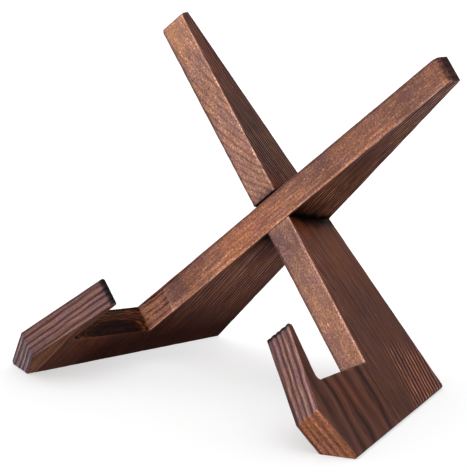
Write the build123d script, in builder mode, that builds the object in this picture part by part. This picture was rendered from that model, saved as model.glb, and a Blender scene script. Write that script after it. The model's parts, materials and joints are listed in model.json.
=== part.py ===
from build123d import *
from math import cos, radians, sin, tan
import os

# Book display stand: two crossed boards, halved into each other, each with a hooked ledge above its foot.
# Z is up and the table is the plane Z = 0. The reader stands on the -Y side, and +X is to the reader's right.
# The origin is on the table, under the middle of the stand.

# Driving dimensions, in millimetres and degrees.
board_thickness = 20.0
leg_slope = 45.0  # each board runs this far above the horizontal, seen square to the book
lean_back = 16.0  # the front edges lean back this far from the vertical
crossing_height = 113.3  # the middle of the crossing, on the front edges, above the table

# The outline of a board. "Up" is along the front edge from the crossing, and "back" is square to it.
arm_reach = 159.6  # up to the front corner of the tip
tip_rise = 2.7  # the back corner of the tip is this much further up
tip_width = 10.0
back_taper = 13.2  # between the front edge and the back edge
ledge_reach = 125.8  # down to where the arm's front edge meets the ledge
ledge_drop = 17.2  # the ledge falls this far down the board on its way to the lip
ledge_depth = 65.6
lip_rise = 42.6  # the lip's top, above its root on the ledge
lip_lean = 3.5  # the lip leans towards the arm by this much
lip_top_width = 4.5
lip_top_rise = 1.3
lip_front_reach = 165.7  # down to where the lip's front turns under
lip_front_depth = 83.0
waste_reach = 270.0  # the boards are drawn past the table to here, and then cut off level with it

# The front corner of each foot is bevelled back, by hand, so the two differ.
left_foot_bevel = 54.2
right_foot_bevel = 64.8

# Rounded corners and edges.
tip_radius = 6.0
ledge_corner_radius = 3.0
lip_radius = 1.8
edge_radius = 0.8
toe_radius = 1.9

# The halving joint. Each board gives up half of its depth at the crossing to the other.
web_depth = 24.0  # wood left in front of the left board's notch, and behind the right board's
seat_gap = 0.1  # between the two notch floors
under_gap = 0.1  # on the lower side of each notch
over_gap = 1.2  # on the upper side of each notch, where the joint is slack
notch_clear = 60.0  # a notch is drawn out to here, past the board's outline

# Directions of the stand.
lean = radians(lean_back)
slope = radians(leg_slope)
up_the_book = Vector(0, sin(lean), cos(lean))
away_from_reader = Vector(0, cos(lean), -sin(lean))
to_the_right = Vector(1, 0, 0)
crossing = Vector(0, 0, crossing_height)


def board_plane(side):
    """The middle plane of a board: X runs up its front edge, and Y runs back from it."""
    up_the_arm = to_the_right * (side * cos(slope)) + up_the_book * sin(slope)
    return Plane(origin=crossing, x_dir=up_the_arm, z_dir=up_the_arm.cross(away_from_reader))


def nearest(corners, point):
    """The corner of an outline at a point."""
    return corners.sort_by_distance(Vector(*point))[0]


def board_outline(plane, foot_bevel):
    """The side view of a board, drawn past the table."""
    tip_front = (arm_reach, 0)
    tip_back = (arm_reach + tip_rise, tip_width)
    waste_back_depth = tip_width + (arm_reach + tip_rise + waste_reach) * tan(radians(back_taper))
    lip_root = (-ledge_reach - ledge_drop, -ledge_depth)
    lip_inner_top = (lip_root[0] + lip_rise, lip_root[1] + lip_lean)
    lip_outer_top = (lip_inner_top[0] + lip_top_rise, lip_inner_top[1] - lip_top_width)
    lip_front_foot = (-lip_front_reach, -lip_front_depth)
    waste_front_depth = (waste_reach - lip_front_reach) / tan(radians(foot_bevel)) - lip_front_depth
    ledge_heel = (-ledge_reach, 0)
    with BuildSketch(plane) as outline:
        with BuildLine():
            Polyline(
                tip_front,
                tip_back,
                (-waste_reach, waste_back_depth),
                (-waste_reach, waste_front_depth),
                lip_front_foot,
                lip_outer_top,
                lip_inner_top,
                lip_root,
                ledge_heel,
                close=True,
            )
        make_face()
        fillet(nearest(outline.vertices(), tip_front), tip_radius)
        fillet(nearest(outline.vertices(), lip_outer_top), lip_radius)
        fillet(nearest(outline.vertices(), lip_inner_top), lip_radius)
        fillet(nearest(outline.vertices(), lip_root), ledge_corner_radius)
    return outline.sketch


def notch_outline(plane, front, back):
    """The side view of a notch, from one depth behind the front edge to another."""
    length = board_thickness + under_gap + over_gap
    middle = (over_gap - under_gap) / 2
    with BuildSketch(plane) as outline:
        with Locations((middle, (front + back) / 2)):
            Rectangle(length, back - front)
    return outline.sketch


def ease_edges(leg, plane):
    """Round the sharp outer edge of the sole, where it meets the table, and then the outlines of both sides."""
    sole = leg.faces().sort_by(Axis.Z)[0]
    long_edges = sole.edges().sort_by(SortBy.LENGTH)[-2:].sort_by(Axis.X)
    outer_edge = long_edges.first if plane.x_dir.X > 0 else long_edges.last
    fillet(outer_edge, toe_radius)
    fillet(leg.faces().filter_by(plane).edges(), edge_radius)


# Both boards are cut to one outline. The left leg's arm leans to the right, and the right leg's to the left.
left_plane = board_plane(side=1)
right_plane = board_plane(side=-1)

with BuildPart() as left_leg:
    extrude(board_outline(left_plane, left_foot_bevel), amount=board_thickness / 2, both=True)
    split(bisect_by=Plane.XY, keep=Keep.TOP)
    ease_edges(left_leg, left_plane)
    left_notch = notch_outline(left_plane, web_depth, notch_clear)
    extrude(left_notch, amount=board_thickness, both=True, mode=Mode.SUBTRACT)

with BuildPart() as right_leg:
    extrude(board_outline(right_plane, right_foot_bevel), amount=board_thickness / 2, both=True)
    split(bisect_by=Plane.XY, keep=Keep.TOP)
    ease_edges(right_leg, right_plane)
    right_notch = notch_outline(right_plane, -notch_clear, web_depth + seat_gap)
    extrude(right_notch, amount=board_thickness, both=True, mode=Mode.SUBTRACT)

# The crossing was drawn over the origin. The stand is slid along the table until its middle is there instead.
footprint = left_leg.part.bounding_box().add(right_leg.part.bounding_box()).center()
to_the_origin = Location((-footprint.X, -footprint.Y, 0))
left_leg.part = left_leg.part.moved(to_the_origin)
right_leg.part = right_leg.part.moved(to_the_origin)

os.makedirs("parts", exist_ok=True)
left_leg.part.label = "left_leg"
export_step(left_leg.part, "parts/left_leg.step")
right_leg.part.label = "right_leg"
export_step(right_leg.part, "parts/right_leg.step")
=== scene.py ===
"""Book display stand: the two halved boards in stained wood, on a pale floor under soft light.

Each leg is rebuilt from its CAD node as a fine mesh in its board's own frame, in millimetres there: up the
board's front edge from the crossing, back from that edge, and over towards the board's upper side.
"""

import json
from itertools import product
from math import cos, pi, radians, sin

import bmesh
import bpy
import numpy as np
from mathutils import Matrix, Vector
from mathutils.bvhtree import BVHTree
from mathutils.kdtree import KDTree


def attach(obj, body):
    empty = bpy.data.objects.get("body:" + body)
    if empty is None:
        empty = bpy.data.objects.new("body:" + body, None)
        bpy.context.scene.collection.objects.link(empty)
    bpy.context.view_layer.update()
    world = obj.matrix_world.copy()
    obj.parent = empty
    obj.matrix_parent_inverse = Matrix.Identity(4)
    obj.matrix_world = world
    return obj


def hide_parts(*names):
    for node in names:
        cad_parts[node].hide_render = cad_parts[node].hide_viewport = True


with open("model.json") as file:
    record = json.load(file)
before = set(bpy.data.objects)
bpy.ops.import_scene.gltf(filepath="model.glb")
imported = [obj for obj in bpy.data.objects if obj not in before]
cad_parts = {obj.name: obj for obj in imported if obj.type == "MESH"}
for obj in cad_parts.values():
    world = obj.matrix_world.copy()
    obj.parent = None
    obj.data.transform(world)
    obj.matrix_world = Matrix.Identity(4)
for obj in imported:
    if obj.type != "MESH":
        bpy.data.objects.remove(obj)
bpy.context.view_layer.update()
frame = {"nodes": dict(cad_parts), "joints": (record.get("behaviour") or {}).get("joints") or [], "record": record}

MM = 0.001

# The camera, as it stands round the crossing of the boards.
CAMERA_AZIMUTH = 38.284
CAMERA_ELEVATION = 15.331
CAMERA_ROLL = 0.743
CAMERA_DISTANCE = 2.2284
CROSSING_RIGHT_OF_CENTRE = 0.02492
CROSSING_ABOVE_CENTRE = 0.01624
LENS = 255.99

# The light. The floor is a light table, so that shadows on it stay faint. Its glow grows in one direction.
LIGHT_ABOVE = 1.0
LIGHT_BELOW = 0.25
GLOW_DIRECTION = (-0.6196, 0.7849, 0.0)
FLOOR_GLOW_FRONT = 0.49
FLOOR_GLOW_BACK = 0.70
FLOOR_GLOW_FROM = 0.0
FLOOR_GLOW_TO = 0.12
KEY_FROM = Vector((-0.62, -0.66, 0.42))
KEY_DISTANCE = 1.6
KEY_SIZE = 0.7
KEY_POWER = 30.0
FLOOR_COLOUR = (0.55, 0.55, 0.55, 1.0)
FLOOR_SIZE = 30.0

# The board meshes.
FACE_SIZE = 0.45
SMOOTHING_STEPS = 4
MOST_TRIANGLES = 190_000
BOARD_HALF = 10.0
LEG_SLOPE = 45.0
LEFT, RIGHT = 1, -1

# Places on a board, in millimetres. The back edge comes forward as it goes up the arm, by the taper.
HEEL = -125.8
LIP_TURN = -165.7
LIP_DEPTH = 60.0
LIP_CAP = -102.2
PATCH_TOP = -102.5
BACK_EDGE = 48.0
BACK_TAPER = 0.235
EDGE_WIDTH = 0.8

# How deep the surface is worked, in millimetres.
LIP_RIDGES = 0.5
BEVEL_RIDGES = 0.35
END_RIDGES = 0.35
SIDE_LINES = 0.12
PLANE_MARKS = 0.07
FIBRES = 0.04
PATCH_DEPTH = 0.45
PATCH_RIDGES = 0.25
HOLLOW_DEPTH = 1.6
EDGE_WEAR = 0.1
EDGE_CHIPS = {LEFT: 0.15, RIGHT: 0.45}

# The lower front edge of the left leg's foot is pared off towards the toe, from here and by this slope.
PARED_FROM = -124.0
PARED_SLOPE = 0.10

# The line that the facet starts from, and a second rubbed line behind it: how far back each is at one place,
# and how much further back it gets for each millimetre down the board.
PARED_LINE_BACK = -72.4
PARED_LINE_TURN = 0.163
SECOND_LINE_FROM = -142
SECOND_LINE_BACK = -57.0
SECOND_LINE_TURN = 0.095

# Where the dark ring lines that run lengthwise through the narrow faces lie across the board.
RING_LINES = (-11.6, -6.8, -2.0, 1.5, 6.5, 11.2)

# How steeply the lines of the broad sides come forward up each arm, and how that eases.
ARM_SLANT = {LEFT: (0.24, 0.0006), RIGHT: (0.40, 0.0010)}

# Where some of those lines lie, back from the front edge at the crossing, and their numbers.
LINE_PLACES = {LEFT: (-120, -33, 10, 200), RIGHT: (-124, -106, -92, -76, -61, -45, -33, 10, 200)}
LINE_NUMBERS = {LEFT: (-7.2, 0, 12, 82), RIGHT: (-6, -5, -4, -3, -2, -1, 0, 16, 77)}
HEEL_LINE_SPACING = 4.1

# The rings of the right arm's front, and those of the ledges round a dark heart at one edge.
SLANT_RING_SPACING = 4.9
LEDGE_HEART = 27.0
LEDGE_RING_SPACING = 5.2

# Single lines: bright ones on the left foot's side and dark ones under the right ledge, each with a width,
# and the pale threads along the left front, of which the first two run far up the arm.
BRIGHT_LINES = ((2.7, 0.55), (24.0, 0.45), (26.6, 0.5))
DARK_BANDS = ((-45, 3.2), (-77, 3.0), (-93, 3.0))
FRONT_THREADS = (-7.8, -5.6, -3.3, -0.4, 2.6)
LONG_THREADS = 2

# Stain colours, linear; some also carry painted shade, sheen or highlight, as their names say.
FRONT_STAIN = {LEFT: (0.184, 0.0775, 0.0475), RIGHT: (0.215, 0.105, 0.073)}
# The broad sides, the right one most, are darker than the fronts partly as painted shade.
SIDE_STAIN_AND_SHADE = {LEFT: (0.175, 0.070, 0.048), RIGHT: (0.101, 0.0378, 0.0260)}
LIP_STAIN = {LEFT: (0.129, 0.063, 0.055), RIGHT: (0.135, 0.066, 0.057)}
# The left bevel's grey is partly a painted sheen.
BEVEL_STAIN_AND_SHEEN = {LEFT: (0.095, 0.058, 0.058), RIGHT: (0.281, 0.106, 0.0565)}
LIP_TOP_STAIN = (0.012, 0.007, 0.008)
END_STAIN = (0.045, 0.0185, 0.0155)
# The ledge's stain is darkened partly as painted shade, down in the slot under the lip.
LEDGE_STAIN_AND_SHADE = (0.048, 0.0150, 0.0068)
LEDGE_HEART_STAIN = (0.016, 0.0046, 0.0036)
PATCH_STAIN = (0.172, 0.070, 0.040)
PARED_STAIN_AND_HIGHLIGHT = (0.270, 0.112, 0.066)

# Tones, which stains are multiplied by; some are painted shade or painted highlights, as their names say.
MAUVE = (0.72, 0.74, 0.86)
DEEP_MAUVE = (0.56, 0.58, 0.70)
GREY_MAUVE = (0.64, 0.63, 0.72)
PALE_MAUVE = (0.74, 0.79, 0.95)
WARM = (1.15, 1.08, 0.98)
ORANGE = (1.20, 1.07, 0.93)
YELLOW = (1.22, 1.16, 0.98)
LIFTED = (1.12, 1.12, 1.10)
DULL = (0.68, 0.66, 0.65)
SEAM_SHADE_TONE = (0.03, 0.02, 0.02)
FOOT_SHADE_TONE = (0.30, 0.14, 0.080)
UNLIT_EDGE_TONE = (0.50, 0.49, 0.55)
DARK_BAND_TONE = (0.42, 0.38, 0.44)
BRIGHT_LINE_TONE = (3.0, 3.3, 3.4)
THREAD_TONE = (1.55, 1.6, 1.6)
RUBBED_TONE = (1.5, 1.6, 1.65)
PATCH_TOP_HIGHLIGHT = (1.9, 2.1, 2.3)
GLINT_TONE = (2.8, 2.3, 1.7)

# The tones of the marks that the material adds.
DARK_RING = (0.36, 0.30, 0.32, 1)
PALE_RING = (3.4, 3.8, 3.8, 1)
DASH = (0.45, 0.4, 0.42, 1)
THREAD = (1.5, 1.55, 1.6, 1)
FLECK = (1.9, 2.1, 2.2, 1)
WORN_HIGHLIGHT = (2.7, 3.0, 3.1, 1)

# The grain: steps of noise for each millimetre along the fibres, across them, and from face to face.
FINE_GRAIN = (0.10, 1.9, 1.0)
GRAIN_THREADS = (0.022, 0.85, 1.0)
STREAKS = (0.012, 0.30, 1.0)
SPECKLE = (0.62, 0.9, 1.0)
CLOUDS = (0.085, 0.20, 1.0)
BLOTCHES = (0.045, 0.09, 1.0)
SHORT_DASHES = (0.4, 1.2, 1.0)
PALE_THREADS = (0.025, 0.62, 1.0)
FLECKS = (0.5, 0.9, 2.0)

# The finish.
WOOD_ROUGHNESS = (0.72, 0.5)
WOOD_SPECULAR = 0.05
BUMP_STRENGTH = 0.5
BUMP_DEPTH = 0.00025
FLOOR_ROUGHNESS = 0.9
FLOOR_SPECULAR = 0.1

# Uneven patches of stain along the front edges: how far up, their reach, how far over, and the tone.
FRONT_PATCH_WIDTH = 14
FRONT_PATCHES = {
    LEFT: (
        (-94, 11, 4, DEEP_MAUVE),
        (51, 14, 0, MAUVE),
        (127, 20, -2, PALE_MAUVE),
        (-25, 26, 0, ORANGE),
        (-76, 20, 0, DULL),
    ),
    RIGHT: (
        (-26, 17, -2, GREY_MAUVE),
        (11, 4, 5, DEEP_MAUVE),
        (-95, 30, 3, WARM),
        (150, 18, 3, YELLOW),
        (75, 55, 0, LIFTED),
    ),
}

# The same along the broad sides, partly stain and partly painted light and shade, lighter up the arms and darker
# on the feet: how far up and its reach, how far back and its reach, and the tone. The sides that face left have
# them too, but fainter.
FAINT = 0.35
SIDE_STAIN_AND_LIGHT_PATCHES = {
    LEFT: (
        (36, 20, 26, 30, (1.18, 1.10, 0.86)),
        (135, 50, 5, 40, (1.40, 1.66, 1.86)),
        (-150, 22, -36, 34, (0.74, 0.46, 0.35)),
        (-128, 20, 14, 36, (0.66, 0.40, 0.31)),
        (-60, 40, 22, 40, (1.68, 1.72, 1.74)),
    ),
    RIGHT: (
        (-32, 24, 28, 34, (1.60, 1.53, 1.27)),
        (-153, 16, -36, 26, (1.10, 0.90, 0.70)),
        (-155, 14, 12, 34, (0.86, 0.86, 0.84)),
        (55, 40, 17, 30, (0.68, 0.83, 0.88)),
        (-118, 26, -76, 12, (0.58, 0.48, 0.42)),
        (-136, 20, 52, 20, (1.22, 1.12, 1.02)),
    ),
}

# Painted shade in the corners of the crossing, darkest in the seam and warm near the right leg's front edge:
# its reach along the board, how far back and its reach that way, and the tone.
CORNER_SHADE = {
    LEFT: (
        (17.0, 6, 20, (0.12, 0.07, 0.03)),
        (7.0, 30, 60, (0.22, 0.14, 0.07)),
        (5.0, 20, 200, SEAM_SHADE_TONE),
    ),
    RIGHT: (
        (13.0, 6, 14, (1.25, 0.70, 0.26)),
        (7.5, 28, 16, (0.42, 0.34, 0.30)),
        (5.0, 20, 200, SEAM_SHADE_TONE),
    ),
}


# Noise for the mesh and for the places of stains.

NOISE_SIZE = 64
noise_table = np.random.default_rng(11).uniform(-1, 1, (NOISE_SIZE,) * 3)


def noise(*coordinates):
    """Smooth noise between -1 and 1 at three arrays of coordinates, one lattice step to each unit."""
    points = np.stack(np.broadcast_arrays(*coordinates), axis=1).astype(float)
    cell = np.floor(points).astype(int)
    part = points - cell
    part = part * part * (3 - 2 * part)
    total = np.zeros(len(points))
    for corner in product((0, 1), repeat=3):
        weight = np.prod(np.where(corner, part, 1 - part), axis=1)
        total += weight * noise_table[tuple(((cell + corner) % NOISE_SIZE).T)]
    return total


def smooth(low, high, value):
    """0 below low, 1 above high, and a soft step between them. It also runs downwards, from high to low."""
    part = np.clip((value - low) / (high - low), 0, 1)
    return part * part * (3 - 2 * part)


def bump(centre, reach, value):
    """1 at centre, fading out over about one reach each way."""
    return np.exp(-(((value - centre) / reach) ** 2))


# The frame of each board.


def crossing_point(record, up_the_book):
    """Where the boards' front edges cross, from the two rests for the book, equally far up the arms."""
    rests = {m["name"]: Vector(m["pos_m"]) for m in record["mounts"] if m["name"].endswith("arm_front")}
    left, right = rests["left_arm_front"], rests["right_arm_front"]
    rise = (left - right).length / 2 * np.tan(radians(LEG_SLOPE))
    return (left + right) / 2 - up_the_book * rise


def board_frame(side, crossing, up_the_book, away):
    """The matrix that takes a point that is up, back and across on a board to its place in the stand."""
    along = Vector((side * cos(radians(LEG_SLOPE)), 0, 0)) + up_the_book * sin(radians(LEG_SLOPE))
    across = along.cross(away)
    turn = Matrix((along, away, across)).transposed()
    return Matrix.Translation(crossing) @ turn.to_4x4()


class Place:
    """Where each vertex of a board lies on it, and which of its faces it is on."""

    def __init__(self, points, normals, side, board):
        self.side = side
        self.height = points @ np.array(board.to_3x3())[2] + board.translation.z / MM
        self.up, self.back, self.over = points[:, 0], points[:, 1], points[:, 2] * side
        self.n_up, self.n_back, self.n_over = normals[:, 0], normals[:, 1], normals[:, 2] * side
        self.broad = smooth(0.55, 0.9, np.abs(self.n_over))
        narrow = 1 - self.broad
        forward = self.n_back < -0.35
        in_front = self.back < -LIP_DEPTH
        self.bevel = narrow * (forward & (self.n_up < -0.25))
        self.lip = narrow * (forward & in_front & (self.n_up >= -0.25))
        self.front = narrow * (forward & ~in_front & (self.n_up >= -0.25))
        self.ledge = narrow * ((self.n_up > 0.5) & (self.up < HEEL + 4) & ~in_front)
        self.end = narrow * ((self.n_up > 0.5) & ((self.up > 100) | in_front))
        self.rear = np.clip(narrow - self.bevel - self.lip - self.front - self.ledge - self.end, 0, 1)
        below_patch_top = smooth(PATCH_TOP + 0.5, PATCH_TOP - 0.5, self.up)
        self.patch = self.front * below_patch_top if side == LEFT else 0 * self.up


# Grain.


def side_rings(place):
    """How far back each line of the broad sides is at the crossing. The lines come forward up the board."""
    up, back = place.up, place.back
    slant, easing = ARM_SLANT[place.side]
    bend = back + np.where(up < 0, 0.29 * up + 0.0004 * up**2, slant * up - easing * up**2)
    wander = 0.7 * noise(up / 45, back / 12, place.side) + 1.4 * noise(bend / 14, 0, up / 200)
    under_ledge = smooth(-34, -50, bend)
    return bend + wander + under_ledge * 3.2 * noise(up / 22, back / 9, 50)


def heel_corner(place):
    """1 in the lower back corner of the right leg, where the lines run parallel to the front edge."""
    if place.side == LEFT:
        return 0 * place.up
    return smooth(-98, -122, place.up) * smooth(22, 42, place.back)


def side_ring_count(place):
    """The lines of the broad sides, numbered: far apart ahead of the ledge, and close behind it."""
    rings = np.interp(side_rings(place), LINE_PLACES[place.side], LINE_NUMBERS[place.side])
    level = (place.back + 0.6 * noise(place.up / 20, place.back / 8, 0)) / HEEL_LINE_SPACING
    return np.where(heel_corner(place) > 0.02, level, rings)


def side_ring_strength(place):
    """The lines of the broad sides show in some places and are lost in others."""
    up, back, rings = place.up, place.back, side_rings(place)
    lost = smooth(-0.6, 0.3, noise(0.45 * rings, 0, up / 90))
    showing = smooth(-0.2, 0.6, noise(up / 38, back / 16, 5 * place.side))
    if place.side == LEFT:
        foot = smooth(-122, -92, up) * smooth(-6, -16, up) * (0.3 + 0.7 * bump(28, 11, rings))
        from_back = BACK_EDGE - BACK_TAPER * up - back
        low_arm = smooth(66, 40, up) * smooth(0, 14, back)
        arm = smooth(8, 20, up) * np.maximum(low_arm, 0.8 * smooth(14, 6, from_back))
        tip = 0.5 * smooth(76, 96, up)
        return np.clip(lost * (0.05 + 0.2 * showing) + 0.9 * foot + 0.9 * arm + tip, 0, 1)
    lower_arm = smooth(6, 14, up) * smooth(78, 50, up)
    upper_arm = smooth(84, 100, up) * lost
    front_edge = bump(8, 7, back) * smooth(-100, -85, up) * smooth(-8, -25, up)
    uneven = 0.4 + 0.4 * noise(rings / 13, up / 60, 0)
    under_ledge = smooth(HEEL + 10, HEEL - 6, up) * smooth(6, -8, back) * uneven
    quiet = smooth(0.05, 0, heel_corner(place)) * lost * (0.06 + 0.3 * showing)
    foot = under_ledge + heel_corner(place)
    return np.clip(quiet + lower_arm + 0.6 * upper_arm + 0.4 * front_edge + foot, 0, 1)


def grain_strength(place):
    """How strongly the grain shows: the broad sides are smooth in the middle and rough near the fronts."""
    up, back = place.up, place.back
    near_front = bump(4, 12, back) * smooth(-120, -100, up)
    arm = smooth(0, 25, up)
    patchy = 0.3 * smooth(-0.3, 0.4, noise(up / 40, back / 14, 30))
    calm = np.where(up < HEEL + 6, 0.8, 0.35) if place.side == LEFT else 0.35
    shown = calm + patchy + 0.5 * (near_front + heel_corner(place) + arm)
    return 1 - place.broad * (1 - np.clip(shown, 0, 1))


def narrow_rings(place):
    """Lines that run lengthwise along the narrow faces, drawn in towards the foot."""
    shift = 1.7 * smooth(-110, LIP_TURN, place.up) * smooth(-40, -75, place.back)
    wander = 0.35 * noise(place.up / 11, place.back / 11, 0)
    return np.interp(place.over + shift + wander, RING_LINES, range(len(RING_LINES)))


def slant_rings(place):
    """Bands across the front of the right arm, at a slant that eases towards the tip."""
    slant = 0.22 * place.up - 37.5 * np.exp(-place.up / 50)
    wander = 0.6 * noise(place.up / 9, place.over / 5, 0)
    return (place.over + slant + wander) / SLANT_RING_SPACING


def ledge_rings(place):
    """Arcs across the ledge, where the saw went through the growth rings."""
    radius = np.hypot(place.back + LEDGE_HEART, 2.2 * (place.over + BOARD_HALF))
    slow = 5 * noise(place.back / 12, place.over / 6, 0)
    quick = 1.2 * noise(place.back / 3, place.over / 3, 0)
    return (radius + slow + quick) / LEDGE_RING_SPACING


def groove(rings, width):
    """1 on a ring line and 0 between the lines. The width is a share of their spacing."""
    return bump(0, width, rings - np.round(rings))


def hollow(place):
    """The left arm was pared a little hollow above the heel, more so at its upper edge."""
    if place.side == RIGHT:
        return 0 * place.up
    along = smooth(HEEL, -110, place.up) * smooth(-45, -105, place.up)
    return place.front * along * HOLLOW_DEPTH * smooth(-14, 10, place.over)


def pared_edge(place):
    """How far each vertex of the left foot's side is ahead of the line where its edge was pared off."""
    if place.side == RIGHT:
        return 0 * place.up
    line = PARED_LINE_BACK - PARED_LINE_TURN * (place.up - PARED_FROM)
    on_side = (place.over < 0) * (place.broad > 0.5)
    return np.clip(line - place.back, 0, None) * (place.up < PARED_FROM) * on_side


def relief(place, edge):
    """How far each vertex sinks below the CAD surface."""
    up, back, over = place.up, place.back, place.over
    end_ridges = END_RIDGES * place.end * (back < 0) if place.side == RIGHT else 0
    ridge_depth = LIP_RIDGES * place.lip + BEVEL_RIDGES * place.bevel + end_ridges
    ridges = groove(narrow_rings(place), 0.2) * ridge_depth
    lines = groove(side_ring_count(place), 0.25) * SIDE_LINES * place.broad * side_ring_strength(place)
    planed = PLANE_MARKS * (1 + noise(up / 23, back / 23, over / 12)) * (1 - place.broad)
    fibres = FIBRES * (1 + noise(up / 5, back / 1.1, over / 1.1))
    patch = place.patch * (PATCH_DEPTH + PATCH_RIDGES * groove(narrow_rings(place), 0.2))
    lit_front = bump(0, 3, back) * smooth(0, 6, -place.side * over) * smooth(8, 20, up)
    chipped = EDGE_WEAR + lit_front * EDGE_CHIPS[place.side]
    worn = edge * chipped * np.clip(0.1 + noise(up / 6, back / 6, over / 4.5 + 9), 0, 1)
    facet = PARED_SLOPE * pared_edge(place)
    clear_of_joint = smooth(11.5, 14, np.abs(up)) * (place.broad > 0.5) + (place.broad <= 0.5)
    return (ridges + lines + planed + fibres + patch + worn + facet + hollow(place)) * clear_of_joint


def toned(colour, amount, tone):
    """The colour at each vertex, taken towards a tone of itself by an amount."""
    return colour * (1 - np.outer(amount, 1 - np.array(tone)))


def blended(colour, amount, stain):
    """The colour at each vertex, taken towards a stain by an amount."""
    return colour + np.outer(amount, stain) - colour * amount[:, None]


def face_stain(place):
    """The mean colour of each face, blended where faces meet."""
    lip_top = place.end * (place.back < 0) + place.lip * smooth(LIP_CAP - 0.6, LIP_CAP, place.up)
    heart = smooth(5.0, 3.2, ledge_rings(place))
    weights = {
        SIDE_STAIN_AND_SHADE[place.side]: place.broad,
        FRONT_STAIN[place.side]: place.front - place.patch,
        PATCH_STAIN: place.patch,
        LIP_STAIN[place.side]: np.clip(place.lip - lip_top, 0, 1),
        BEVEL_STAIN_AND_SHEEN[place.side]: place.bevel,
        LEDGE_STAIN_AND_SHADE: place.ledge * (1 - heart),
        LEDGE_HEART_STAIN: place.ledge * heart,
        END_STAIN: place.end * (place.back >= 0) + place.rear,
        LIP_TOP_STAIN: lip_top,
    }
    total = sum(weights.values())
    return sum(np.outer(weight / total, colour) for colour, weight in weights.items())


def left_threads(place, colour):
    """The pale threads along the left leg's front."""
    up = place.up
    for number, line in enumerate(FRONT_THREADS):
        middle = line + 0.5 * noise(up / 30, number, 0)
        reach = 120 if number < LONG_THREADS else 40
        shown = smooth(-0.25, 0.25, noise(up / 16, 3 * number, 9))
        shown = shown * smooth(-100, -60, up) * smooth(reach, reach - 25, up) * (1 - bump(51, 14, up))
        thread = (place.front - place.patch) * shown * bump(middle, 0.5, place.over)
        colour = toned(colour, thread, THREAD_TONE)
    return colour


def left_leg_stains_and_painted_light(place, colour):
    """What the left leg has alone: painted shade near the floor, lines, threads, and painted highlights on the
    pared edge and the patch's top, and glints.
    """
    up, back, over = place.up, place.back, place.over
    # Painted shade: the foot's side darkens towards the floor.
    floor_shade = 0.75 * smooth(75, 5, place.height) * smooth(-46, -20, back)
    floor_shade = np.clip(floor_shade + 0.5 * smooth(24, 0, place.height), 0, 1)
    colour = toned(colour, side_stain_and_shade_weight(place) * floor_shade, FOOT_SHADE_TONE)
    for line, width in BRIGHT_LINES:
        stretch = smooth(line - 88, line - 58, up) * smooth(-10, -16, up)
        bright = stretch * bump(line, width, side_rings(place))
        colour = toned(colour, place.broad * bright, BRIGHT_LINE_TONE)
    # The pared facet is painted lighter, partly as a highlight where it catches the light.
    colour = blended(colour, smooth(0.2, 1.2, pared_edge(place)), PARED_STAIN_AND_HIGHLIGHT)
    colour = left_threads(place, colour)
    second_line = SECOND_LINE_BACK - SECOND_LINE_TURN * (up - SECOND_LINE_FROM)
    second_line = bump(second_line, 0.6, back) * (up < -140) * (up > -167)
    rubbed = np.maximum(bump(0.9, 0.5, pared_edge(place)), second_line)
    colour = toned(colour, place.broad * rubbed, RUBBED_TONE)
    # A painted highlight along the patch's top, where its step faces the light.
    colour = toned(colour, place.front * bump(PATCH_TOP, 0.6, up), PATCH_TOP_HIGHLIGHT)
    ends = np.maximum(bump(-58, 10, back), bump(-4, 9, back))
    glints = smooth(0.1, 0.6, noise(back / 5, over / 2.5, 70)) * ends
    return toned(colour, place.ledge * glints, GLINT_TONE)


def right_leg_stains(place, colour):
    """What the right leg has alone: dark bands under its ledge."""
    under_ledge = smooth(HEEL + 10, HEEL - 4, place.up) * smooth(8, -8, place.back)
    for line, width in DARK_BANDS:
        shown = bump(line, width, side_rings(place)) * under_ledge
        colour = toned(colour, 0.85 * place.broad * shown, DARK_BAND_TONE)
    return colour


def side_stain_and_shade_weight(place):
    """How strongly a broad side takes its uneven stain and painted light and shade: fully if it faces right,
    faintly if it faces left.
    """
    return place.broad * (FAINT + (1 - FAINT) * (place.side * place.over < 0))


def stain_and_painted_light(place):
    """The mean colour at each vertex before the grain: the stain, with painted shade and painted highlights."""
    up, back, over = place.up, place.back, place.over
    colour = face_stain(place)
    ragged = up + 3 * noise(up / 7, over / 7, 0)
    for spot_up, reach, spot_over, tone in FRONT_PATCHES[place.side]:
        spot = bump(spot_up, reach, ragged) * bump(spot_over, FRONT_PATCH_WIDTH, over)
        colour = toned(colour, place.front * spot, tone)
    # Uneven stain with painted light and shade: the arms lighter up high and the feet darker near the floor.
    for spot_up, reach, spot_back, depth, tone in SIDE_STAIN_AND_LIGHT_PATCHES[place.side]:
        spot = bump(spot_up, reach, ragged) * bump(spot_back, depth, back)
        colour = toned(colour, side_stain_and_shade_weight(place) * spot, tone)
    # Painted shade, darkest in the seam, in the corners where the boards cross.
    from_corner = np.abs(up) - 2.4 * noise(back / 4, over, up / 4)
    shaded = place.broad * smooth(-2, 3, back)
    for reach, spot_back, depth, tone in CORNER_SHADE[place.side]:
        corner = bump(BOARD_HALF, reach, from_corner) * bump(spot_back, depth, back)
        colour = toned(colour, shaded * corner, tone)
    unlit = smooth(7.4, 8.6, place.side * over) * (1 - place.broad) * (back < 3)
    colour = toned(colour, unlit, UNLIT_EDGE_TONE)
    return left_leg_stains_and_painted_light(place, colour) if place.side == LEFT else right_leg_stains(place, colour)


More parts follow.
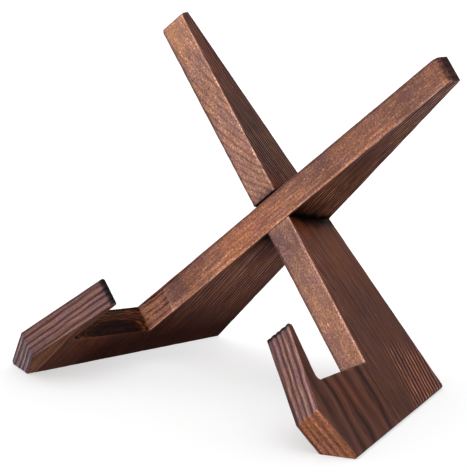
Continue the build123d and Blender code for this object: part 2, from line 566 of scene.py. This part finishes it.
def ring_lines(place):
    """The ring coordinate at each vertex, with a line at each whole number, and how strongly it shows."""
    rings = np.where(place.broad > 0.5, side_ring_count(place), narrow_rings(place))
    rings = np.where(place.ledge > 0.5, ledge_rings(place), rings)
    dashed = 0.2 + 0.8 * smooth(-0.35, 0.25, noise(place.up / 5, place.over / 3, 12))
    calm_heart = 0.3 + 0.6 * smooth(3.2, 5.0, ledge_rings(place))
    strength = place.broad * side_ring_strength(place) + 0.9 * place.lip * (place.up < LIP_CAP)
    strength = strength + 1.1 * place.patch * dashed + 0.08 * (place.front - place.patch)
    strength = strength + 0.5 * (place.bevel + place.end) + calm_heart * place.ledge
    if place.side == RIGHT:
        arm = place.front * smooth(6, 10, place.up) * (place.broad < 0.5)
        uneven = 0.85 + 0.3 * noise(place.up / 12, place.over / 6, 3)
        rings = np.where(arm > 0, slant_rings(place), rings)
        strength = np.where(arm > 0, 0.62 * uneven * smooth(165, 90, place.up), strength)
    return rings, strength


def light_line_strength(place):
    """How strongly thin pale lines show between the rings of the broad sides and the left leg's bevel."""
    up, back = place.up, place.back
    if place.side == LEFT:
        return place.broad + place.bevel + 0.4 * place.ledge
    front_edge = bump(8, 6, back) * smooth(-115, -95, up) * smooth(-8, -20, up)
    arm = smooth(6, 14, up)
    shown = 0.2 + heel_corner(place) + front_edge + 0.5 * arm
    return place.broad * np.clip(shown, 0, 1) + 0.3 * place.lip


def dash_strength(place):
    """Short dark dashes: a few on every front, and many on one stretch of the right leg and its bevel."""
    dashes = 0.35 * place.front + 0.4 * place.lip
    if place.side == RIGHT:
        far_half = smooth(8, -4, place.over)
        dashes = dashes + 1.5 * place.front * far_half * bump(108, 24, place.up) + 1.2 * place.bevel
    return dashes


def wear_and_highlight_strength(place, edge):
    """The rounded edges are rubbed pale, and the pale is partly a painted highlight: it is on the edges that face
    the light, most of all the front edge.
    """
    lit = smooth(-6, 6, -place.side * place.over)
    front_edge = smooth(3, 1, np.abs(place.back))
    return edge * lit * (0.3 + 0.7 * front_edge)


def mottle_strength(place):
    """How far the grain is speckled and cloudy instead of fibrous."""
    under_ledge = place.broad * smooth(HEEL + 12, HEEL - 4, place.up) * (place.side == LEFT)
    return place.front + 0.4 * place.end + 0.6 * place.bevel + 0.35 * place.lip + 0.5 * under_ledge


def thread_strength(place):
    """How strongly pale threads show: most in the lower half of the left front and on the right bevel."""
    if place.side == LEFT:
        return (place.front - place.patch) * (0.15 + 0.85 * smooth(2, -6, place.over))
    return 0.3 * place.front + 0.9 * place.bevel


def fibre_coordinates(place):
    """Millimetres along the fibres, across them, and a third number that tells one face from the next."""
    narrow = place.broad <= 0.5
    steep = np.abs(place.n_up) > np.abs(place.n_back)
    along = np.where(narrow & steep, place.back, place.up)
    across = np.where(narrow, place.over, side_rings(place))
    face = np.where(narrow, 40.0 + 20 * steep, 10.0 * np.sign(place.over)) + 100 * place.side
    return np.stack((along, across, face), axis=1)


# The leg meshes.


def shaped(mesh, name, kind, **settings):
    """A mesh after one modifier."""
    carrier = bpy.data.objects.new(name, mesh)
    bpy.context.scene.collection.objects.link(carrier)
    modifier = carrier.modifiers.new(name, kind)
    for key, value in settings.items():
        setattr(modifier, key, value)
    depsgraph = bpy.context.evaluated_depsgraph_get()
    result = bpy.data.meshes.new_from_object(carrier.evaluated_get(depsgraph))
    bpy.data.objects.remove(carrier)
    return result


def welded_copy(mesh, matrix):
    """A copy of a CAD mesh in another frame, closed where its faces meet."""
    work = bmesh.new()
    work.from_mesh(mesh)
    bmesh.ops.transform(work, matrix=matrix, verts=work.verts)
    bmesh.ops.remove_doubles(work, verts=work.verts, dist=0.001)
    bmesh.ops.triangulate(work, faces=work.faces)
    copy = bpy.data.meshes.new(mesh.name + "_shape")
    work.to_mesh(copy)
    work.free()
    return copy


def vertex_points(mesh):
    """The vertices of a mesh as rows of numbers."""
    points = np.empty(len(mesh.vertices) * 3)
    mesh.vertices.foreach_get("co", points)
    return points.reshape(-1, 3)


def on_surface(mesh, points):
    """The nearest point of a mesh to each point, and the way its face looks there."""
    tree = BVHTree.FromPolygons([v.co for v in mesh.vertices], [p.vertices for p in mesh.polygons])
    hits = [tree.find_nearest(point) for point in points]
    return np.array([hit[0] for hit in hits]), np.array([hit[1] for hit in hits])


def edge_wear(points, normals):
    """1 on the rounded edges along the board's sides, fading out over the edge width."""
    slant = np.abs(normals[:, 2])
    rounded = points[(slant > 0.3) & (slant < 0.93)]
    tree = KDTree(len(rounded))
    for index, point in enumerate(rounded):
        tree.insert(point, index)
    tree.balance()
    distance = np.array([tree.find(point)[2] for point in points])
    return np.exp(-((distance / EDGE_WIDTH) ** 2))


def set_attribute(mesh, name, kind, values):
    """Store one value for each vertex."""
    attribute = mesh.attributes.new(name, kind, "POINT")
    key = "vector" if kind == "FLOAT_VECTOR" else "value"
    attribute.data.foreach_set(key, values.astype(np.float32).ravel())


def make_leg(node_name, side, board, material):
    """The visible mesh of one leg, which stands for its CAD node."""
    cad_mesh = welded_copy(frame["nodes"][node_name].data, Matrix.Scale(1 / MM, 4) @ board.inverted())
    even = shaped(cad_mesh, "even", "REMESH", mode="VOXEL", voxel_size=FACE_SIZE)
    even = shaped(even, "evened", "SMOOTH", factor=0.5, iterations=SMOOTHING_STEPS)
    points, normals = on_surface(cad_mesh, vertex_points(even))
    depth = relief(Place(points, normals, side, board), edge_wear(points, normals))
    even.vertices.foreach_set("co", (points - normals * depth[:, None]).ravel())
    ratio = min(1.0, MOST_TRIANGLES / (2 * len(even.polygons)))
    leg_mesh = shaped(even, "light", "DECIMATE", ratio=ratio)
    points, normals = on_surface(cad_mesh, vertex_points(leg_mesh))
    place, edge = Place(points, normals, side, board), edge_wear(points, normals)
    rings, strength = ring_lines(place)
    set_attribute(leg_mesh, "fibre", "FLOAT_VECTOR", fibre_coordinates(place))
    # The stain attribute also carries the painted shade and highlights.
    set_attribute(leg_mesh, "stain", "FLOAT_VECTOR", stain_and_painted_light(place))
    set_attribute(leg_mesh, "rings", "FLOAT", rings)
    set_attribute(leg_mesh, "dark_lines", "FLOAT", strength)
    set_attribute(leg_mesh, "light_lines", "FLOAT", light_line_strength(place))
    set_attribute(leg_mesh, "wear_and_highlight", "FLOAT", wear_and_highlight_strength(place, edge))
    set_attribute(leg_mesh, "mottle", "FLOAT", mottle_strength(place))
    set_attribute(leg_mesh, "dashes", "FLOAT", dash_strength(place))
    set_attribute(leg_mesh, "threads", "FLOAT", thread_strength(place))
    set_attribute(leg_mesh, "grain", "FLOAT", grain_strength(place))
    leg_mesh.polygons.foreach_set("use_smooth", [True] * len(leg_mesh.polygons))
    leg_mesh.transform(board @ Matrix.Scale(MM, 4))
    leg_mesh.materials.clear()
    leg_mesh.materials.append(material)
    leg = bpy.data.objects.new(node_name + "_wood", leg_mesh)
    bpy.context.scene.collection.objects.link(leg)
    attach(leg, node_name)
    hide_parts(node_name)
    return leg


# Materials.


class Shader:
    """A material's node tree, built by short calls that each return an output socket."""

    def __init__(self, name):
        self.material = bpy.data.materials.new(name)
        self.material.use_nodes = True
        self.tree = self.material.node_tree
        self.surface = self.tree.nodes["Principled BSDF"]

    def add(self, kind, inputs, **settings):
        """One node. Inputs are sockets to link or values to set, by the input's name or number."""
        node = self.tree.nodes.new(kind)
        for key, value in settings.items():
            setattr(node, key, value)
        for key, value in inputs.items():
            if isinstance(value, bpy.types.NodeSocket):
                self.tree.links.new(value, node.inputs[key])
            else:
                node.inputs[key].default_value = value
        return node

    def attribute(self, name, output="Fac"):
        return self.add("ShaderNodeAttribute", {}, attribute_name=name).outputs[output]

    def math(self, operation, first, second=0.0, third=0.0):
        return self.add("ShaderNodeMath", {0: first, 1: second, 2: third}, operation=operation).outputs[0]

    def stretched(self, vector, scale):
        return self.add("ShaderNodeVectorMath", {0: vector, 1: scale}, operation="MULTIPLY").outputs[0]

    def noise(self, vector, scale, detail=3.0, roughness=0.55):
        place = self.stretched(vector, scale)
        inputs = {"Vector": place, "Scale": 1.0, "Detail": detail, "Roughness": roughness}
        return self.add("ShaderNodeTexNoise", inputs).outputs["Fac"]

    def ramp(self, value, low, high, to_low=0.0, to_high=1.0):
        inputs = {"Value": value, "From Min": low, "From Max": high, "To Min": to_low, "To Max": to_high}
        return self.add("ShaderNodeMapRange", inputs, interpolation_type="SMOOTHSTEP").outputs["Result"]

    def mix(self, factor, first, second, blend="MIX"):
        node = self.add("ShaderNodeMix", {0: factor}, data_type="RGBA", blend_type=blend)
        for number, value in ((6, first), (7, second)):
            if isinstance(value, bpy.types.NodeSocket):
                self.tree.links.new(value, node.inputs[number])
            else:
                node.inputs[number].default_value = value
        return node.outputs[2]

    def finish(self, **inputs):
        """Link sockets, or set values, on the surface shader. A _ stands for a space in an input's name."""
        for key, value in inputs.items():
            socket = self.surface.inputs[key.replace("_", " ")]
            if isinstance(value, bpy.types.NodeSocket):
                self.tree.links.new(value, socket)
            else:
                socket.default_value = value
        return self.material


def grey(value):
    return (value, value, value, 1.0)


def wood_grain(wood, fibre):
    """The light and dark of the fibres: fine on the broad sides, and cloudy on the narrow faces."""
    fine = wood.noise(fibre, FINE_GRAIN, detail=4.0, roughness=0.65)
    threads = wood.noise(fibre, GRAIN_THREADS, detail=2.0, roughness=0.6)
    streaks = wood.noise(fibre, STREAKS, detail=2.0)
    fibrous = wood.mix(wood.ramp(fine, 0.3, 0.7), grey(0.6), grey(1.4))
    threaded = wood.mix(wood.ramp(threads, 0.34, 0.66), (0.66, 0.63, 0.63, 1), (1.34, 1.37, 1.37, 1))
    streaky = wood.mix(wood.ramp(streaks, 0.34, 0.66), (0.78, 0.76, 0.76, 1), (1.22, 1.24, 1.24, 1))
    grainy = wood.mix(1.0, wood.mix(1.0, fibrous, threaded, "MULTIPLY"), streaky, "MULTIPLY")

    speckle = wood.noise(fibre, SPECKLE, detail=3.0, roughness=0.75)
    clouds = wood.noise(fibre, CLOUDS, detail=4.0, roughness=0.62)
    rough = wood.ramp(clouds, 0.40, 0.60, 0.6, 0.0)
    speckled = wood.mix(wood.ramp(speckle, 0.38, 0.62), (0.46, 0.42, 0.42, 1), (1.54, 1.58, 1.61, 1))
    speckled = wood.mix(rough, speckled, grey(1.0))
    cloudy = wood.mix(wood.ramp(clouds, 0.36, 0.64), (0.82, 0.81, 0.85, 1), (1.18, 1.19, 1.15, 1))
    mottled = wood.mix(1.0, wood.mix(0.2, speckled, fibrous), cloudy, "MULTIPLY")
    pattern = wood.mix(wood.attribute("mottle"), grainy, mottled)
    return fine, speckle, wood.mix(wood.attribute("grain"), grey(1.0), pattern)


def ring_marks(wood, fine):
    """The dark lines of the growth rings and the thin pale lines between them, broken up by the fibres."""
    wave = wood.math("COSINE", wood.math("MULTIPLY", wood.attribute("rings"), 2 * pi))
    broken = wood.ramp(fine, 0.3, 0.6)
    dark = wood.math("MULTIPLY", wood.ramp(wave, 0.0, 1.0), wood.attribute("dark_lines"))
    dark = wood.math("MULTIPLY", dark, wood.ramp(broken, 0.0, 1.0, 0.6, 1.0))
    pale = wood.math("MULTIPLY", wood.ramp(wave, -0.25, -0.95), wood.attribute("dark_lines"))
    pale = wood.math("MULTIPLY", pale, wood.attribute("light_lines"))
    return dark, wood.math("MULTIPLY", pale, broken)


def wood_material():
    """Stained wood: fibres, growth rings, pores, blotches of stain, and worn edges with a painted highlight."""
    wood = Shader("stained_wood")
    fibre = wood.attribute("fibre", "Vector")
    fine, speckle, pattern = wood_grain(wood, fibre)
    dark_line, pale_line = ring_marks(wood, fine)

    colour = wood.mix(1.0, wood.attribute("stain", "Vector"), pattern, "MULTIPLY")
    blotches = wood.noise(fibre, BLOTCHES, detail=2.0)
    tint = wood.mix(wood.ramp(blotches, 0.35, 0.65), (0.92, 0.93, 1.05, 1), (1.07, 1.05, 0.94, 1))
    colour = wood.mix(1.0, colour, tint, "MULTIPLY")
    dashes = wood.noise(fibre, SHORT_DASHES, detail=1.0)
    threads = wood.noise(fibre, PALE_THREADS, detail=2.0)
    flecks = wood.noise(fibre, FLECKS, detail=1.0)
    # The worn edges are painted pale as a highlight where they face the light.
    rubbed = wood.math("MULTIPLY", wood.attribute("wear_and_highlight"), wood.ramp(speckle, 0.35, 0.6, 0.55, 1.0))
    dashed = wood.math("MULTIPLY", wood.ramp(dashes, 0.58, 0.66), wood.attribute("dashes"))
    threaded = wood.math("MULTIPLY", wood.ramp(threads, 0.54, 0.62), wood.attribute("threads"))
    flecked = wood.math("MULTIPLY", wood.ramp(flecks, 0.62, 0.72), wood.attribute("mottle"))
    marks = (
        (dark_line, DARK_RING),
        (pale_line, PALE_RING),
        (dashed, DASH),
        (threaded, THREAD),
        (flecked, FLECK),
        (rubbed, WORN_HIGHLIGHT),
    )
    for amount, tone in marks:
        colour = wood.mix(amount, colour, wood.mix(1.0, colour, tone, "MULTIPLY"))

    height = wood.math("MULTIPLY_ADD", fine, 0.6, wood.math("MULTIPLY", speckle, 0.4))
    height = wood.math("SUBTRACT", height, wood.math("MULTIPLY", dark_line, 0.5))
    bump_inputs = {"Strength": BUMP_STRENGTH, "Distance": BUMP_DEPTH, "Height": height}
    bumps = wood.add("ShaderNodeBump", bump_inputs).outputs["Normal"]
    roughness = wood.ramp(fine, 0.25, 0.75, *WOOD_ROUGHNESS)
    return wood.finish(
        Base_Color=colour,
        Roughness=roughness,
        Normal=bumps,
        Specular_IOR_Level=WOOD_SPECULAR,
    )


def floor_material():
    """Matt pale card, lit from below, and more so behind the stand and to its left."""
    card = Shader("pale_floor")
    place = card.add("ShaderNodeTexCoord", {}).outputs["Object"]
    shade = card.ramp(card.noise(place, (6.0, 6.0, 6.0)), 0.3, 0.7)
    colour = card.mix(shade, FLOOR_COLOUR, tuple(min(1.0, c * 1.01) for c in FLOOR_COLOUR))
    behind = card.add("ShaderNodeVectorMath", {0: place, 1: GLOW_DIRECTION}, operation="DOT_PRODUCT")
    reach = FLOOR_GLOW_FROM, FLOOR_GLOW_TO
    glow = card.ramp(behind.outputs["Value"], *reach, FLOOR_GLOW_FRONT, FLOOR_GLOW_BACK)
    return card.finish(
        Base_Color=colour,
        Roughness=FLOOR_ROUGHNESS,
        Specular_IOR_Level=FLOOR_SPECULAR,
        Emission_Color=(1, 1, 1, 1),
        Emission_Strength=glow,
    )


# The stage.


def make_floor(material):
    half = FLOOR_SIZE / 2
    mesh = bpy.data.meshes.new("floor")
    corners = [(-half, -half, 0), (half, -half, 0), (half, half, 0), (-half, half, 0)]
    mesh.from_pydata(corners, [], [(0, 1, 2, 3)])
    mesh.materials.append(material)
    floor = bpy.data.objects.new("floor", mesh)
    bpy.context.scene.collection.objects.link(floor)
    floor.visible_diffuse = False
    floor.visible_glossy = False


def make_light(target, legs):
    """A white surround, and a large soft lamp in front of the stand, on its left, for the legs alone."""
    world = bpy.data.worlds.new("surround")
    world.use_nodes = True
    nodes, links = world.node_tree.nodes, world.node_tree.links
    direction = nodes.new("ShaderNodeTexCoord")
    height = nodes.new("ShaderNodeSeparateXYZ")
    strength = nodes.new("ShaderNodeMapRange")
    horizon = {"From Min": -0.1, "From Max": 0.1, "To Min": LIGHT_BELOW, "To Max": LIGHT_ABOVE}
    for name, value in horizon.items():
        strength.inputs[name].default_value = value
    links.new(direction.outputs["Generated"], height.inputs[0])
    links.new(height.outputs["Z"], strength.inputs["Value"])
    links.new(strength.outputs[0], nodes["Background"].inputs["Strength"])
    nodes["Background"].inputs["Color"].default_value = (1, 1, 1, 1)
    bpy.context.scene.world = world
    lamp = bpy.data.lights.new("key", "AREA")
    lamp.shape = "DISK"
    lamp.size = KEY_SIZE
    lamp.energy = KEY_POWER
    key = bpy.data.objects.new("key", lamp)
    bpy.context.scene.collection.objects.link(key)
    key.location = target + KEY_FROM.normalized() * KEY_DISTANCE
    key.rotation_mode = "QUATERNION"
    key.rotation_quaternion = (-KEY_FROM).to_track_quat("-Z", "Y")
    lit = bpy.data.collections.new("lit_by_the_key")
    for leg in legs:
        lit.objects.link(leg)
    key.light_linking.receiver_collection = lit


def make_camera(crossing):
    """A long lens that looks a little down on the stand from the reader's right."""
    azimuth, elevation, roll = (radians(a) for a in (CAMERA_AZIMUTH, CAMERA_ELEVATION, CAMERA_ROLL))
    back = Vector((sin(azimuth) * cos(elevation), -cos(azimuth) * cos(elevation), sin(elevation)))
    level = Vector((cos(azimuth), sin(azimuth), 0))
    upright = back.cross(level)
    right = level * cos(roll) + upright * sin(roll)
    up = upright * cos(roll) - level * sin(roll)
    data = bpy.data.cameras.new("camera")
    data.lens = LENS
    data.clip_end = 100
    camera = bpy.data.objects.new("camera", data)
    bpy.context.scene.collection.objects.link(camera)
    aside = right * CROSSING_RIGHT_OF_CENTRE + up * CROSSING_ABOVE_CENTRE
    place = crossing + back * CAMERA_DISTANCE - aside
    turn = Matrix((right, up, back)).transposed()
    camera.matrix_world = Matrix.Translation(place) @ turn.to_4x4()
    bpy.context.scene.camera = camera


def main():
    away = -Vector(frame["joints"][0]["axis"])
    up_the_book = Vector((1, 0, 0)).cross(away)
    crossing = crossing_point(frame["record"], up_the_book)
    bpy.context.scene.view_settings.view_transform = "Standard"
    wood = wood_material()
    legs = []
    for node_name, side in (("left_leg", LEFT), ("right_leg", RIGHT)):
        legs.append(make_leg(node_name, side, board_frame(side, crossing, up_the_book, away), wood))
    make_floor(floor_material())
    make_light(crossing, legs)
    make_camera(crossing)


main()
